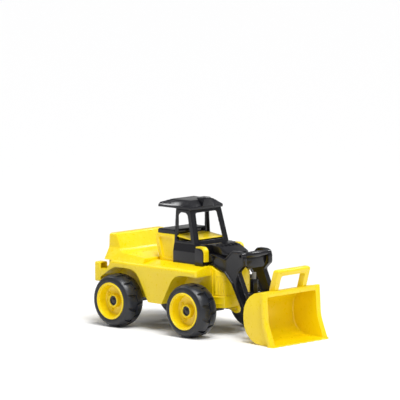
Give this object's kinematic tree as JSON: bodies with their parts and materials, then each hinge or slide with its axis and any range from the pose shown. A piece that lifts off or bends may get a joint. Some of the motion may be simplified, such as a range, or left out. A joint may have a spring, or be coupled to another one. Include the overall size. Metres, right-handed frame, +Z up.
{
  "type": "ride-on loader toy",
  "caption": "Child's ride-on front loader with rolling wheels, lifting arms and a tilting scoop with a grab handle.",
  "frame": {"origin": "on the floor, on the middle plane, half way between the bucket's lip and the rear bumper", "axes": "+Z up, -Y towards the bucket, +X towards the toy's own left side"},
  "size_m": [0.391, 0.81, 0.45],
  "materials": {
    "yellow_plastic": "glossy moulded yellow polyethylene",
    "black_plastic": "glossy moulded black polyethylene",
    "tyre_plastic": "semi-gloss black, blow moulded",
    "steel": "zinc plated",
    "grey_plastic": "matte"
  },
  "bodies": {
    "chassis": {"main_body": "yellow_plastic", "underbody_tray": "black_plastic", "rear_bumper": "yellow_plastic", "nose": "yellow_plastic", "tow_eye": "yellow_plastic", "hood": "black_plastic", "cab_frame": "black_plastic", "cab_deck": "yellow_plastic", "roof": "black_plastic", "roof_pod": "black_plastic", "console": "yellow_plastic", "console_pad": "black_plastic", "seat": "yellow_plastic", "lamp_right": "yellow_plastic", "lamp_left": "yellow_plastic", "lamp_bezel_right": "black_plastic", "lamp_bezel_left": "black_plastic", "axle_front": "steel", "axle_rear": "steel", "axle_block_front": "black_plastic", "axle_block_rear": "black_plastic", "axle_block_screws": "steel", "axle_spacers": "grey_plastic", "push_nuts": "steel", "arm_pivot_pin": "steel", "arm_pivot_caps": "black_plastic"},
    "loader": {"arm_right": "black_plastic", "arm_left": "black_plastic", "arm_cross_tube": "black_plastic", "arm_cross_plate": "black_plastic", "ram_barrel": "black_plastic", "ram_rod": "grey_plastic", "arm_lower_bar": "black_plastic", "bucket_pin": "steel", "bucket_pin_caps": "black_plastic"},
    "bucket": {"bucket_shell": "yellow_plastic", "bucket_handle": "yellow_plastic", "bucket_lug_right": "yellow_plastic", "bucket_lug_left": "yellow_plastic"},
    "wheel_front_right": {"tyre_front_right": "tyre_plastic", "rim_front_right": "yellow_plastic", "hub_cap_front_right": "black_plastic", "wheel_bushes_front_right": "grey_plastic"},
    "wheel_front_left": {"tyre_front_left": "tyre_plastic", "rim_front_left": "yellow_plastic", "hub_cap_front_left": "black_plastic", "wheel_bushes_front_left": "grey_plastic"},
    "wheel_rear_right": {"tyre_rear_right": "tyre_plastic", "rim_rear_right": "yellow_plastic", "hub_cap_rear_right": "black_plastic", "wheel_bushes_rear_right": "grey_plastic"},
    "wheel_rear_left": {"tyre_rear_left": "tyre_plastic", "rim_rear_left": "yellow_plastic", "hub_cap_rear_left": "black_plastic", "wheel_bushes_rear_left": "grey_plastic"}
  },
  "joints": [
    {"name": "loader_lift", "type": "hinge", "parent": "chassis", "child": "loader", "pos_m": [0, -0.057, 0.258], "axis": [-1, 0, 0], "range_deg": [0, 45]},
    {"name": "bucket_tilt", "type": "hinge", "parent": "loader", "child": "bucket", "pos_m": [0, -0.227, 0.078], "axis": [-1, 0, 0], "range_deg": [-55, 35]},
    {"name": "wheel_spin_front_right", "type": "hinge", "parent": "chassis", "child": "wheel_front_right", "pos_m": [-0.1535, -0.049, 0.09], "axis": [-1, 0, 0], "continuous": true},
    {"name": "wheel_spin_front_left", "type": "hinge", "parent": "chassis", "child": "wheel_front_left", "pos_m": [0.1535, -0.049, 0.09], "axis": [-1, 0, 0], "continuous": true},
    {"name": "wheel_spin_rear_right", "type": "hinge", "parent": "chassis", "child": "wheel_rear_right", "pos_m": [-0.1535, 0.293, 0.09], "axis": [-1, 0, 0], "continuous": true},
    {"name": "wheel_spin_rear_left", "type": "hinge", "parent": "chassis", "child": "wheel_rear_left", "pos_m": [0.1535, 0.293, 0.09], "axis": [-1, 0, 0], "continuous": true}
  ]
}
